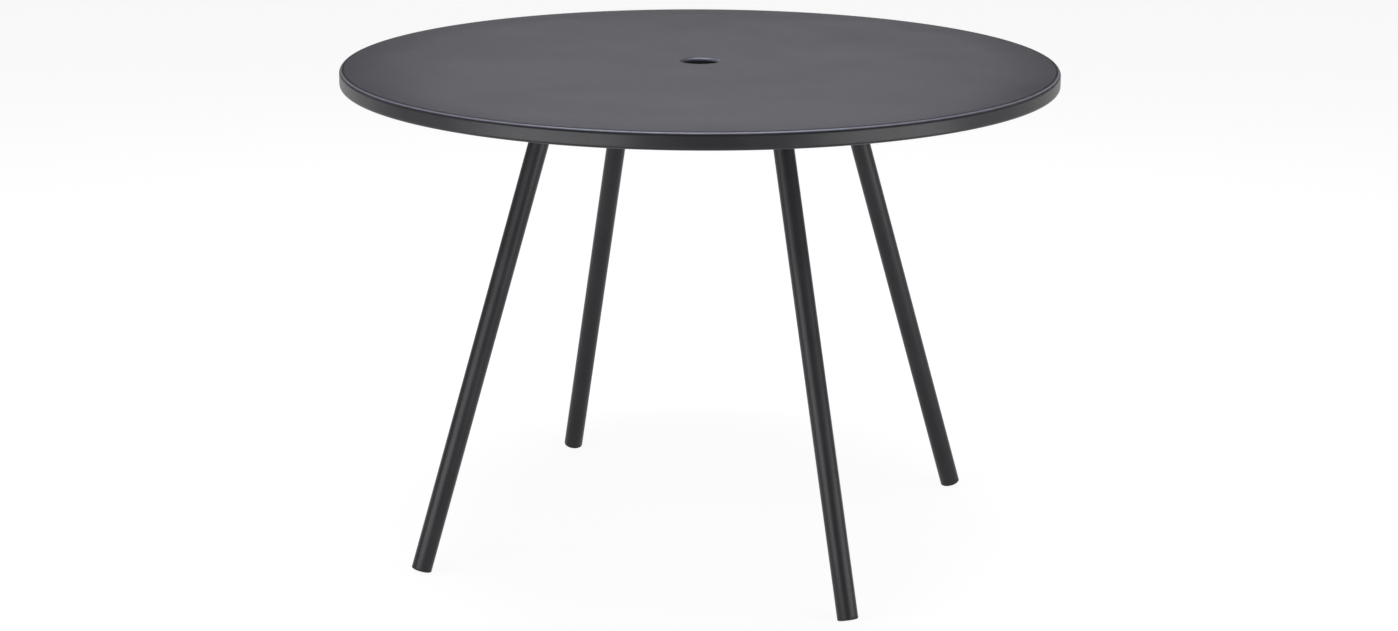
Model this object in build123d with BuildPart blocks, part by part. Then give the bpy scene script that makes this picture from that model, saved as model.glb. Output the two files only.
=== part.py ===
from build123d import *
import os
from math import atan, cos, pi, radians, sin, sqrt, tan

# Round outdoor dining table in aluminium, in millimetres, with +Z up.
# The origin lies on the floor under the centre of the top, and the legs stand on the diagonals of X and Y.

# Top: one sheet, pressed with a falling edge, a turned-down rim, an inward hem and a drawn parasol hole
TABLE_HEIGHT = 755.0
TOP_DIAMETER = 1100.0
SHEET_THICKNESS = 3.0
EDGE_FALL = 5.0
EDGE_FALL_WIDTH = 110.0
EDGE_INSIDE_RADIUS = 3.0
RIM_DEPTH = 25.0
HEM_WIDTH = 12.0
HEM_INSIDE_RADIUS = 1.5
PARASOL_BORE = 54.0
LIP_DEPTH = 18.0
LIP_INSIDE_RADIUS = 4.5

# Legs: round tubes that splay outwards on the diagonals
LEG_COUNT = 4
FIRST_LEG_AZIMUTH = 45.0
LEG_DIAMETER = 31.0
LEG_WALL = 2.5
LEG_SPLAY = 17.5
LEG_TOP_RADIUS = 248.5
WELD_SIZE = 4.0
WELD_TOE = 0.3

# Foot plugs: a thin head with a rounded edge, and a ribbed spigot pressed into the tube
PLUG_HEAD = 3.0
PLUG_EDGE_RADIUS = 2.0
PLUG_SPIGOT_LENGTH = 24.0
PLUG_RIB_COUNT = 3
PLUG_RIB_WIDTH = 2.5
PLUG_RIB_DEPTH = 1.2
PLUG_CLEARANCE = 0.05

# Leg fixing: a flange on the leg, a tapped backing plate in the rail, and bolts with washers
FLANGE_THICKNESS = 5.0
FLANGE_CORNER_RADIUS = 12.0
FLANGE_MARGIN = 5.0
BOLT_WELD_GAP = 14.0
BOLT_SPACING_TANGENTIAL = 30.0
BOLT_DIAMETER = 8.0
BOLT_HEAD_DIAMETER = 14.0
BOLT_HEAD_HEIGHT = 4.4
BOLT_HEAD_FLAT_DIAMETER = 8.0
BOLT_SOCKET_WIDTH = 5.0
BOLT_SOCKET_DEPTH = 2.6
BOLT_PROTRUSION = 1.5
BOLT_HOLE_CLEARANCE = 0.5
THREAD_CLEARANCE = 0.05
WASHER_DIAMETER = 16.0
WASHER_THICKNESS = 1.6
BACKING_THICKNESS = 6.0
BACKING_CLEARANCE = 1.0

# Rails: folded hat sections under the sheet, one per leg
RAIL_THICKNESS = 2.5
RAIL_DEPTH = 22.0
RAIL_BEND_RADIUS = 2.0
RAIL_SIDE_MARGIN = 2.0
RAIL_EDGE_GAP = 6.0
RAIL_CENTRE_GAP = 8.0
RAIL_CORNER_CUT = 8.0

# Studs on the sheet and the flange nuts that hold the rails
STUD_DIAMETER = 5.0
STUD_PROTRUSION = 2.5
STUD_HOLE_CLEARANCE = 0.3
STUD_END_DISTANCE = 22.0
STUDS_PER_FLANGE = 3
NUT_WIDTH = 8.0
NUT_HEIGHT = 5.0
NUT_FLANGE_DIAMETER = 11.8
NUT_FLANGE_THICKNESS = 1.2
NUT_MARGIN = 1.2

# Centre plate and the blind rivets that hold it
CENTRE_PLATE_THICKNESS = 3.0
CENTRE_PLATE_LAP = 60.0
CENTRE_HOLE_CLEARANCE = 2.0
RIVET_DIAMETER = 4.8
RIVET_SPACING = 30.0
RIVET_HEAD_DIAMETER = 9.5
RIVET_HEAD_HEIGHT = 1.6
RIVET_BULB_DIAMETER = 7.0
RIVET_BULB_LENGTH = 5.0
RIVET_HOLE_CLEARANCE = 0.1

# Levels, from the top down
edge_level = TABLE_HEIGHT - EDGE_FALL
rim_underside = edge_level - RIM_DEPTH
sheet_underside = TABLE_HEIGHT - SHEET_THICKNESS
rail_underside = sheet_underside - RAIL_DEPTH
crown_top = rail_underside + RAIL_THICKNESS
flange_underside = rail_underside - FLANGE_THICKNESS
centre_plate_underside = rail_underside - CENTRE_PLATE_THICKNESS

# Radii of the top
top_radius = TOP_DIAMETER / 2
bore_radius = PARASOL_BORE / 2
lip_outer_radius = bore_radius + SHEET_THICKNESS
hem_inner_radius = top_radius - HEM_WIDTH

# Bends of the sheet, to its outer face
lip_bend = LIP_INSIDE_RADIUS + SHEET_THICKNESS
edge_bend = EDGE_INSIDE_RADIUS + SHEET_THICKNESS
hem_bend = HEM_INSIDE_RADIUS + SHEET_THICKNESS

# The flat of the top falls to the edge in one wide arc, which ends where the edge's own bend begins
fall_half_width = EDGE_FALL_WIDTH / 2
fall_corner = top_radius - fall_half_width
fall_angle = atan(EDGE_FALL / fall_half_width)
fall_tangent = fall_half_width - edge_bend
fall_bend = fall_tangent / tan(fall_angle / 2)
flat_radius = fall_corner - fall_tangent

# The leg's section where the flange cuts it, with its weld and the bolts that stand clear of that
leg_radius = LEG_DIAMETER / 2
splay = radians(LEG_SPLAY)
mitre_half_length = leg_radius / cos(splay)
bolt_spacing_radial = 2 * (mitre_half_length + WELD_SIZE + BOLT_WELD_GAP) + WASHER_DIAMETER

# Widths across a rail, from what it carries
flange_length = bolt_spacing_radial + WASHER_DIAMETER + 2 * FLANGE_MARGIN
flange_width = BOLT_SPACING_TANGENTIAL + WASHER_DIAMETER + 2 * FLANGE_MARGIN
crown_width = flange_width + 2 * RAIL_SIDE_MARGIN
rail_flange_width = RAIL_BEND_RADIUS + NUT_FLANGE_DIAMETER + 2 * NUT_MARGIN
rail_half_width = crown_width / 2 + rail_flange_width
stud_offset = rail_half_width - NUT_MARGIN - NUT_FLANGE_DIAMETER / 2
backing_width = crown_width - 2 * (RAIL_THICKNESS + RAIL_BEND_RADIUS + BACKING_CLEARANCE)

# Each rail runs from beside its neighbours at the centre to just inside the end of the flat
rail_start = max(rail_half_width / tan(pi / LEG_COUNT), lip_outer_radius) + RAIL_CENTRE_GAP
rail_end = sqrt((flat_radius - RAIL_EDGE_GAP) ** 2 - rail_half_width**2)
rail_length = rail_end - rail_start
stud_pitch = (rail_length - 2 * STUD_END_DISTANCE) / (STUDS_PER_FLANGE - 1)
centre_plate_radius = rail_start + CENTRE_PLATE_LAP
rivet_radius = rail_start + CENTRE_PLATE_LAP / 2

# Each leg's axis runs down and out from the flange, and its plug's rounded edge touches the floor
plug_edge_ring = leg_radius - PLUG_EDGE_RADIUS
plug_face_height = plug_edge_ring * sin(splay) + PLUG_EDGE_RADIUS * (1 - cos(splay))
leg_axis_length = (flange_underside - plug_face_height) / cos(splay)
tube_length = leg_axis_length - PLUG_HEAD
leg_plane = Plane(
    origin=(LEG_TOP_RADIUS, 0, flange_underside),
    x_dir=(cos(splay), 0, sin(splay)),
    z_dir=(sin(splay), 0, -cos(splay)),
)
leg_axis = Axis(leg_plane.origin, leg_plane.z_dir)
# The tube starts above the flange's underside, so that the mitre cuts its whole section
mitre_stock = LEG_DIAMETER * tan(splay) + LEG_WALL

# Clear holes and threads
bolt_radius = BOLT_DIAMETER / 2
bolt_hole_radius = bolt_radius + BOLT_HOLE_CLEARANCE
stud_radius = STUD_DIAMETER / 2
rivet_shank_radius = RIVET_DIAMETER / 2
rivet_hole_radius = rivet_shank_radius + RIVET_HOLE_CLEARANCE

os.makedirs("parts", exist_ok=True)


def export_group(part, name):
    """Writes a piece, or a group of alike pieces, that already stands in its place."""
    part.label = name
    export_step(part, f"parts/{name}.step")


def export_at_each_leg(part, name):
    """Writes a copy of a piece modelled on the +X axis for each leg, turned to that leg's azimuth."""
    for number in range(LEG_COUNT):
        azimuth = FIRST_LEG_AZIMUTH + number * 360 / LEG_COUNT
        export_group(part.rotate(Axis.Z, azimuth), f"{name}_{number + 1}")


def leg_bolt_places():
    """The corners of each leg's bolt pattern, with X along the leg's radius."""
    return [
        leg * corner
        for leg in PolarLocations(LEG_TOP_RADIUS, LEG_COUNT, FIRST_LEG_AZIMUTH)
        for corner in GridLocations(bolt_spacing_radial, BOLT_SPACING_TANGENTIAL, 2, 2)
    ]


def rail_stud_places():
    """The stud places along both flanges of a rail on the +X axis."""
    return [
        Location((rail_start + STUD_END_DISTANCE + row * stud_pitch, side * stud_offset))
        for row in range(STUDS_PER_FLANGE)
        for side in (-1, 1)
    ]


def stud_places():
    """The stud places of all rails."""
    return [
        rail * stud
        for rail in PolarLocations(0, LEG_COUNT, FIRST_LEG_AZIMUTH)
        for stud in rail_stud_places()
    ]


def rivet_places():
    """The rivet places at the inner ends of all rails."""
    return [
        rail * Location((0, side * RIVET_SPACING / 2))
        for rail in PolarLocations(rivet_radius, LEG_COUNT, FIRST_LEG_AZIMUTH)
        for side in (-1, 1)
    ]


# Table top: the sheet's outer face runs from the lip up, over the top, down the rim and in under the hem
with BuildPart() as table_top:
    with BuildSketch(Plane.XZ):
        with BuildLine():
            FilletPolyline(
                (bore_radius, TABLE_HEIGHT - LIP_DEPTH),
                (bore_radius, TABLE_HEIGHT),
                (fall_corner, TABLE_HEIGHT),
                (top_radius, edge_level),
                (top_radius, rim_underside),
                (hem_inner_radius, rim_underside),
                radius=(lip_bend, fall_bend, edge_bend, hem_bend),
            )
            offset(amount=SHEET_THICKNESS, side=Side.RIGHT)
        make_face()
    revolve(axis=Axis.Z)
export_group(table_top.part, "table_top")

# Frame rail: a folded hat section, drawn along its inner face, with holes for studs, bolts and rivets
with BuildPart() as frame_rail:
    with BuildSketch(Plane.YZ.offset(rail_start)):
        with BuildLine():
            inner_wall = crown_width / 2 - RAIL_THICKNESS
            FilletPolyline(
                (-rail_half_width, sheet_underside),
                (-inner_wall, sheet_underside),
                (-inner_wall, crown_top),
                (inner_wall, crown_top),
                (inner_wall, sheet_underside),
                (rail_half_width, sheet_underside),
                radius=(
                    RAIL_BEND_RADIUS + RAIL_THICKNESS,
                    RAIL_BEND_RADIUS,
                    RAIL_BEND_RADIUS,
                    RAIL_BEND_RADIUS + RAIL_THICKNESS,
                ),
            )
            offset(amount=RAIL_THICKNESS, side=Side.RIGHT)
        make_face()
    extrude(amount=rail_length)
    flange_corners = frame_rail.edges().filter_by(Axis.Z).group_by(Axis.Y)
    chamfer(flange_corners[0] + flange_corners[-1], RAIL_CORNER_CUT)
    with BuildSketch(Plane.XY.offset(rail_underside)):
        with Locations((LEG_TOP_RADIUS, 0)):
            with GridLocations(bolt_spacing_radial, BOLT_SPACING_TANGENTIAL, 2, 2):
                Circle(bolt_hole_radius)
        with Locations((rivet_radius, 0)):
            with GridLocations(0, RIVET_SPACING, 1, 2):
                Circle(rivet_hole_radius)
    extrude(amount=RAIL_THICKNESS, mode=Mode.SUBTRACT)
    with BuildSketch(Plane.XY.offset(sheet_underside)):
        with Locations(rail_stud_places()):
            Circle(stud_radius + STUD_HOLE_CLEARANCE)
    extrude(amount=-RAIL_THICKNESS, mode=Mode.SUBTRACT)
export_at_each_leg(frame_rail.part, "frame_rail")

# Centre plate: ties the rails together under their inner ends, and lets the pole through
with BuildPart() as centre_plate:
    with BuildSketch(Plane.XY.offset(centre_plate_underside)):
        Circle(centre_plate_radius)
        Circle(lip_outer_radius + CENTRE_HOLE_CLEARANCE, mode=Mode.SUBTRACT)
        with Locations(rivet_places()):
            Circle(rivet_hole_radius, mode=Mode.SUBTRACT)
    extrude(amount=CENTRE_PLATE_THICKNESS)
export_group(centre_plate.part, "centre_plate")

# Leg flange: the plate welded to the mitred end of a leg
with BuildPart() as leg_flange:
    with BuildSketch(Plane.XY.offset(flange_underside)):
        with Locations((LEG_TOP_RADIUS, 0)):
            RectangleRounded(flange_length, flange_width, FLANGE_CORNER_RADIUS)
            with GridLocations(bolt_spacing_radial, BOLT_SPACING_TANGENTIAL, 2, 2):
                Circle(bolt_hole_radius, mode=Mode.SUBTRACT)
    extrude(amount=FLANGE_THICKNESS)
export_at_each_leg(leg_flange.part, "leg_flange")

# Backing plate: lies inside the rail's crown, tapped for the leg's bolts
with BuildPart() as backing_plate:
    with BuildSketch(Plane.XY.offset(crown_top)):
        with Locations((LEG_TOP_RADIUS, 0)):
            Rectangle(flange_length, backing_width)
            with GridLocations(bolt_spacing_radial, BOLT_SPACING_TANGENTIAL, 2, 2):
                Circle(bolt_radius + THREAD_CLEARANCE, mode=Mode.SUBTRACT)
    extrude(amount=BACKING_THICKNESS)
export_at_each_leg(backing_plate.part, "backing_plate")

# Leg tube: square at the foot and mitred to the flange at the top
with BuildPart() as leg_tube:
    with BuildSketch(leg_plane.offset(-mitre_stock)):
        Circle(leg_radius)
        Circle(leg_radius - LEG_WALL, mode=Mode.SUBTRACT)
    extrude(amount=mitre_stock + tube_length)
    split(bisect_by=Plane.XY.offset(flange_underside), keep=Keep.BOTTOM)
export_at_each_leg(leg_tube.part, "leg_tube")

# Leg weld: a fillet bead round the mitre, from the flange down to the tube
with BuildPart() as leg_weld:
    with BuildSketch(Plane.XY.offset(flange_underside)):
        with Locations((LEG_TOP_RADIUS, 0)):
            Ellipse(mitre_half_length + WELD_SIZE, leg_radius + WELD_SIZE)
    with BuildSketch(Plane.XY.offset(flange_underside - WELD_SIZE)):
        with Locations((LEG_TOP_RADIUS + WELD_SIZE * tan(splay), 0)):
            Ellipse(mitre_half_length + WELD_TOE, leg_radius + WELD_TOE)
    loft()
    with BuildSketch(leg_plane.offset(-mitre_stock)):
        Circle(leg_radius)
    extrude(amount=mitre_stock + LEG_DIAMETER, mode=Mode.SUBTRACT)
with BuildPart() as leg_welds:
    with PolarLocations(0, LEG_COUNT, FIRST_LEG_AZIMUTH):
        add(leg_weld.part)
export_group(leg_welds.part, "leg_welds")

# Foot plug: a head as wide as the tube with a rounded lower edge, and a spigot with round ribs
with BuildPart() as foot_plug:
    spigot_radius = leg_radius - LEG_WALL - PLUG_CLEARANCE
    with BuildSketch(leg_plane.offset(leg_axis_length)):
        Circle(leg_radius)
    extrude(amount=-PLUG_HEAD)
    fillet(foot_plug.faces().sort_by(leg_axis)[-1].edges(), PLUG_EDGE_RADIUS)
    with BuildSketch(leg_plane.offset(tube_length)):
        Circle(spigot_radius - PLUG_RIB_DEPTH)
    extrude(amount=-PLUG_SPIGOT_LENGTH)
    rib_pitch = PLUG_SPIGOT_LENGTH / (PLUG_RIB_COUNT + 1)
    for rib in range(PLUG_RIB_COUNT):
        with BuildSketch(leg_plane.offset(tube_length - (rib + 1) * rib_pitch)):
            Circle(spigot_radius)
        extrude(amount=PLUG_RIB_WIDTH / 2, both=True)
export_at_each_leg(foot_plug.part, "foot_plug")

# Leg bolts: button heads under the washers, with shanks through the flange and rail into the backing plate
washer_underside = flange_underside - WASHER_THICKNESS
bolt_bottom = washer_underside - BOLT_HEAD_HEIGHT
bolt_top = crown_top + BACKING_THICKNESS + BOLT_PROTRUSION
with BuildPart() as leg_bolt:
    with BuildSketch(Plane.XZ):
        with BuildLine():
            head_edge = (BOLT_HEAD_DIAMETER / 2, washer_underside)
            head_flat = (BOLT_HEAD_FLAT_DIAMETER / 2, bolt_bottom)
            TangentArc(head_edge, head_flat, tangent=(0, -1))
            Polyline(
                head_flat,
                (0, bolt_bottom),
                (0, bolt_top),
                (bolt_radius, bolt_top),
                (bolt_radius, washer_underside),
                head_edge,
            )
        make_face()
    revolve(axis=Axis.Z)
    with BuildSketch(Plane.XY.offset(bolt_bottom)):
        RegularPolygon(BOLT_SOCKET_WIDTH / 2, 6, major_radius=False)
    extrude(amount=BOLT_SOCKET_DEPTH, mode=Mode.SUBTRACT)
with BuildPart() as leg_bolts:
    with Locations(leg_bolt_places()):
        add(leg_bolt.part)
export_group(leg_bolts.part, "leg_bolts")

with BuildPart() as leg_washers:
    with BuildSketch(Plane.XY.offset(washer_underside)):
        with Locations(leg_bolt_places()):
            Circle(WASHER_DIAMETER / 2)
            Circle(bolt_hole_radius, mode=Mode.SUBTRACT)
    extrude(amount=WASHER_THICKNESS)
export_group(leg_washers.part, "leg_washers")

# Weld studs: stand on the sheet's underside and pass through the rails' flanges
stud_length = RAIL_THICKNESS + NUT_HEIGHT + STUD_PROTRUSION
with BuildPart() as weld_studs:
    with BuildSketch(Plane.XY.offset(sheet_underside)):
        with Locations(stud_places()):
            Circle(stud_radius)
    extrude(amount=-stud_length)
export_group(weld_studs.part, "weld_studs")

# Stud nuts: hexagons with a round flange, tightened against the rails' flanges
nut_seat = sheet_underside - RAIL_THICKNESS
with BuildPart() as stud_nuts:
    with BuildSketch(Plane.XY.offset(nut_seat)):
        with Locations(stud_places()):
            RegularPolygon(NUT_WIDTH / 2, 6, major_radius=False)
    extrude(amount=-NUT_HEIGHT)
    with BuildSketch(Plane.XY.offset(nut_seat)):
        with Locations(stud_places()):
            Circle(NUT_FLANGE_DIAMETER / 2)
    extrude(amount=-NUT_FLANGE_THICKNESS)
    with BuildSketch(Plane.XY.offset(nut_seat)):
        with Locations(stud_places()):
            Circle(stud_radius + THREAD_CLEARANCE)
    extrude(amount=-NUT_HEIGHT, mode=Mode.SUBTRACT)
export_group(stud_nuts.part, "stud_nuts")

# Centre rivets: domed heads under the centre plate, and set bulbs above the rails' crowns
with BuildPart() as centre_rivet:
    with BuildSketch(Plane.XZ):
        with BuildLine():
            head_rim = (RIVET_HEAD_DIAMETER / 2, centre_plate_underside)
            head_pole = (0, centre_plate_underside - RIVET_HEAD_HEIGHT)
            bulb_top = crown_top + RIVET_BULB_LENGTH
            TangentArc(head_pole, head_rim, tangent=(1, 0))
            Polyline(
                head_rim,
                (rivet_shank_radius, centre_plate_underside),
                (rivet_shank_radius, crown_top),
                (RIVET_BULB_DIAMETER / 2, crown_top),
                (RIVET_BULB_DIAMETER / 2, bulb_top),
                (0, bulb_top),
                head_pole,
            )
        make_face()
    revolve(axis=Axis.Z)
with BuildPart() as centre_rivets:
    with Locations(rivet_places()):
        add(centre_rivet.part)
export_group(centre_rivets.part, "centre_rivets")
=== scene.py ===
"""Looks of a round powder-coated outdoor dining table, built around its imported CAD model.

Geometry Nodes make the turned pieces and the weld beads and repeat the fasteners, the finishes are
procedural, and every length is in metres in the CAD model's own frame.
"""

from __future__ import annotations

import logging
import math
import sys
from dataclasses import dataclass, field
from enum import Enum
from typing import Any, Sequence

import bmesh
import bpy
from mathutils import Matrix, Vector

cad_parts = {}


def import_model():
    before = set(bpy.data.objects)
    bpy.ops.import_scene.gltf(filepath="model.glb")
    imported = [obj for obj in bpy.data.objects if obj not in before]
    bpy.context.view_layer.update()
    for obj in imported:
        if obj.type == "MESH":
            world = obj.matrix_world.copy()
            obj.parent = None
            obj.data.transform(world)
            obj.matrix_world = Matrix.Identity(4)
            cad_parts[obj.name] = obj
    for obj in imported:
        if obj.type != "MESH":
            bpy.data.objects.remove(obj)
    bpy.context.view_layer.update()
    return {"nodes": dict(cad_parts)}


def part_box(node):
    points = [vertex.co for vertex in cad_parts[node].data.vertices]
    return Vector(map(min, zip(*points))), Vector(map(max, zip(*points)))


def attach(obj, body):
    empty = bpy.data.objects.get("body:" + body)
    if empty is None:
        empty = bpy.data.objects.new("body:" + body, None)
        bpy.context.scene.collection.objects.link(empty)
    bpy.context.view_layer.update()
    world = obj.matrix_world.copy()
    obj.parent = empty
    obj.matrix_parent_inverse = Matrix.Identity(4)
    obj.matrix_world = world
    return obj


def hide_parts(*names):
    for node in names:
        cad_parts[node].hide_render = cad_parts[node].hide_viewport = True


LOG = logging.getLogger("outdoor_table")
MM = 0.001
ROOT_BODY = "root"
PHOTO_WIDTH_PX = 1398
PAIR = 2
ARC_STEP = math.radians(7.5)
ARC_LENGTH_STEP = 12 * MM
LEAST_ARC_STEPS = 2
# A flat gets supporting points where it is over this many times as long as their distance
SUPPORT_ROOM = 3
SHARP_ANGLE = math.radians(32.0)
MERGE_DISTANCE = 0.002 * MM
# The bevel profile that is a round one
ROUND_PROFILE = 0.5
FASTENER_SEGMENTS = 48
# The point attribute that marks where the bends get a painted highlight
HIGHLIGHT_ATTRIBUTE = "painted_bend_highlight"
# Most of a noise's values lie between these
NOISE_RANGE = {"From Min": 0.3, "From Max": 0.7}
# A Mix node's sockets for colours and for numbers share their names, so they are found by number
MIX_COLOURS = (6, 7)
MIX_COLOUR_RESULT = 2
MIX_NUMBERS = (2, 3)


class Slot(Enum):
    """The material slots that the part's record names."""

    POWDER_COAT = "powder_coat"
    PLAIN_ALUMINIUM = "plain_aluminium"
    STAINLESS_STEEL = "stainless_steel"
    BLACK_NYLON = "black_nylon"


def linear(code: str) -> tuple[float, float, float, float]:
    """Turns an sRGB hex colour into a linear one.

    Args:
        code: The colour as "#rrggbb".

    Returns:
        Red, green, blue and alpha, with alpha at 1.
    """
    channels = [int(code[place : place + 2], 16) / 255 for place in (1, 3, 5)]
    red, green, blue = (c / 12.92 if c <= 0.04045 else ((c + 0.055) / 1.055) ** 2.4 for c in channels)
    return red, green, blue, 1.0


def add_node(
    tree: bpy.types.NodeTree, kind: str, inputs: dict[Any, Any] | None = None, **settings: Any
) -> Any:
    """Adds a node with its settings, and sets or links its inputs.

    Args:
        tree: The shader or geometry tree.
        kind: Blender's name for the node's type.
        inputs: Values, or output sockets to link from, by the input's name or number.
        settings: Attributes of the node itself.

    Returns:
        The new node's outputs.
    """
    node = tree.nodes.new(kind)
    for name, value in settings.items():
        setattr(node, name, value)
    for key, value in (inputs or {}).items():
        if isinstance(value, bpy.types.NodeSocket):
            tree.links.new(value, node.inputs[key])
        else:
            node.inputs[key].default_value = value
    return node.outputs


# Finishes


def empty_material(name: str) -> tuple[bpy.types.Material, bpy.types.NodeTree]:
    """Makes a material with an empty node tree.

    Args:
        name: The material's name.

    Returns:
        The material and its tree.
    """
    material = bpy.data.materials.new(name)
    material.use_nodes = True
    material.node_tree.nodes.clear()
    return material, material.node_tree


def two_tones(tree: bpy.types.NodeTree, noise: Any, dark: str, light: str) -> Any:
    """Lets a noise drift between two tones of a colour.

    Args:
        tree: The material's tree.
        noise: The socket that gives the noise.
        dark: The darker tone, as sRGB hex.
        light: The lighter tone, as sRGB hex.

    Returns:
        The socket that gives the colour.
    """
    share = add_node(tree, "ShaderNodeMapRange", {"Value": noise, **NOISE_RANGE})["Result"]
    first, second = MIX_COLOURS
    tones = {"Factor": share, first: linear(dark), second: linear(light)}
    return add_node(tree, "ShaderNodeMix", tones, data_type="RGBA")[MIX_COLOUR_RESULT]


def end_material(tree: bpy.types.NodeTree, surface: dict[str, Any]) -> None:
    """Ends a material in its surface.

    Args:
        tree: The material's tree.
        surface: Values, or output sockets to link from, by the shader's input.
    """
    shader = add_node(tree, "ShaderNodeBsdfPrincipled", surface)
    add_node(tree, "ShaderNodeOutputMaterial", {"Surface": shader["BSDF"]})


@dataclass(frozen=True)
class Pattern:
    """An uneven pattern in a surface: the width of its grain, its finer octaves and its stretch."""

    size: float
    octaves: float = 2.0
    stretch: tuple[float, float, float] = (1.0, 1.0, 1.0)

    def build(self, tree: bpy.types.NodeTree) -> Any:
        """Lays the pattern on Object coordinates.

        Args:
            tree: The material's tree.

        Returns:
            The socket that gives the pattern.
        """
        place = add_node(tree, "ShaderNodeTexCoord")["Object"]
        run = add_node(tree, "ShaderNodeMapping", {"Vector": place, "Scale": self.stretch})["Vector"]
        grain = {"Vector": run, "Scale": 1 / self.size, "Detail": self.octaves}
        return add_node(tree, "ShaderNodeTexNoise", grain)["Fac"]


@dataclass(frozen=True)
class PowderCoat:
    """Polyester powder coat, sprayed dry and baked on aluminium: an even, satin, fine-grained dark film."""

    name: str = "fine_texture_powder_coat"
    dark: str = "#202023"
    light: str = "#28282b"
    roughness: float = 0.38
    roughness_range: float = 0.05
    # Polyester has about 1.5, and the grain scatters part of the gloss, as a lower index does
    ior: float = 1.34
    # The real grain is about 0.3 mm, and is drawn coarser so that it shows
    grain: Pattern = Pattern(0.9 * MM)
    grain_height: float = 0.045 * MM
    # Thicker and thinner patches of the film, from the passes of the spray gun
    flow: Pattern = Pattern(60 * MM)
    # A painted highlight on the bends, where they would mirror the overhead lamp: a paler colour and a
    # smoother film, in uneven patches
    painted_highlight: str = "#98989f"
    highlight_roughness: float = 0.22
    highlight_noise: Pattern = Pattern(9 * MM, octaves=5.0)
    highlight_least: float = 0.75
    # Pressed sheet is never quite flat, and broad reflections drift over its waves; the noise rises and
    # falls by about a fifth of the height given
    wave: Pattern = Pattern(230 * MM, octaves=1.0)
    wave_height: float = 6.5 * MM

    def build(self) -> bpy.types.Material:
        """Builds the material: a grain in the normal, slow drifts of tone and gloss, and a painted highlight
        on the bends.

        Returns:
            The material.
        """
        material, tree = empty_material(self.name)
        patterns = (self.flow, self.grain, self.highlight_noise, self.wave)
        flow, grain, highlight_noise, wave = (pattern.build(tree) for pattern in patterns)
        # The painted highlight: a paler colour and a lower roughness where the bends are marked, in uneven
        # patches
        highlight_mask = add_node(tree, "ShaderNodeAttribute", attribute_name=HIGHLIGHT_ATTRIBUTE)["Fac"]
        highlight_patchiness = {"Value": highlight_noise, **NOISE_RANGE, "To Min": self.highlight_least}
        highlight_patches = add_node(tree, "ShaderNodeMapRange", highlight_patchiness)["Result"]
        highlight_share = add_node(tree, "ShaderNodeMath", {0: highlight_mask, 1: highlight_patches}, operation="MULTIPLY")[0]
        coated, sheen_input = MIX_COLOURS
        film = two_tones(tree, flow, self.dark, self.light)
        tones = {"Factor": highlight_share, coated: film, sheen_input: linear(self.painted_highlight)}
        low, high = self.roughness - self.roughness_range, self.roughness + self.roughness_range
        satin = {"Value": grain, **NOISE_RANGE, "To Min": low, "To Max": high}
        coated, sheen_input = MIX_NUMBERS
        gloss = {"Factor": highlight_share, sheen_input: self.highlight_roughness}
        gloss[coated] = add_node(tree, "ShaderNodeMapRange", satin)["Result"]
        broad = {"Height": wave, "Distance": self.wave_height}
        fine = {"Height": grain, "Distance": self.grain_height}
        fine["Normal"] = add_node(tree, "ShaderNodeBump", broad)["Normal"]
        surface = {
            "Base Color": add_node(tree, "ShaderNodeMix", tones, data_type="RGBA")[MIX_COLOUR_RESULT],
            "Roughness": add_node(tree, "ShaderNodeMix", gloss)[0],
            "IOR": self.ior,
            "Normal": add_node(tree, "ShaderNodeBump", fine)["Normal"],
        }
        end_material(tree, surface)
        return material


@dataclass(frozen=True)
class MouldedNylon:
    """Black nylon, injection moulded in a spark-eroded tool: a matt black with a fine even grain."""

    name: str = "moulded_black_nylon"
    dark: str = "#0c0c0d"
    light: str = "#161617"
    roughness: float = 0.6
    grain: Pattern = Pattern(0.5 * MM)
    grain_height: float = 0.02 * MM

    def build(self) -> bpy.types.Material:
        """Builds the material: black with a grain in its tone and normal.

        Returns:
            The material.
        """
        material, tree = empty_material(self.name)
        grain = self.grain.build(tree)
        relief = {"Height": grain, "Distance": self.grain_height}
        surface = {
            "Base Color": two_tones(tree, grain, self.dark, self.light),
            "Roughness": self.roughness,
            "Normal": add_node(tree, "ShaderNodeBump", relief)["Normal"],
        }
        end_material(tree, surface)
        return material


@dataclass(frozen=True)
class BareMetal:
    """Uncoated metal, drawn or turned: fine lines along one axis that draw its highlights out."""

    name: str
    dark: str
    light: str
    roughness: float
    roughness_share: float = 0.2
    # Lines are long along one axis and fine across it
    lines: Pattern = Pattern(0.4 * MM, octaves=3.0, stretch=(1.0, 1.0, 0.08))
    line_height: float = 0.01 * MM

    def build(self) -> bpy.types.Material:
        """Builds the material: metal with lines in its tone, gloss and normal.

        Returns:
            The material.
        """
        material, tree = empty_material(self.name)
        lines = self.lines.build(tree)
        relief = {"Height": lines, "Distance": self.line_height}
        gloss = {"Value": lines, **NOISE_RANGE}
        gloss["To Min"] = (1 - self.roughness_share) * self.roughness
        gloss["To Max"] = (1 + self.roughness_share) * self.roughness
        surface = {
            "Base Color": two_tones(tree, lines, self.dark, self.light),
            "Metallic": 1.0,
            "Roughness": add_node(tree, "ShaderNodeMapRange", gloss)["Result"],
            "Normal": add_node(tree, "ShaderNodeBump", relief)["Normal"],
        }
        end_material(tree, surface)
        return material


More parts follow.
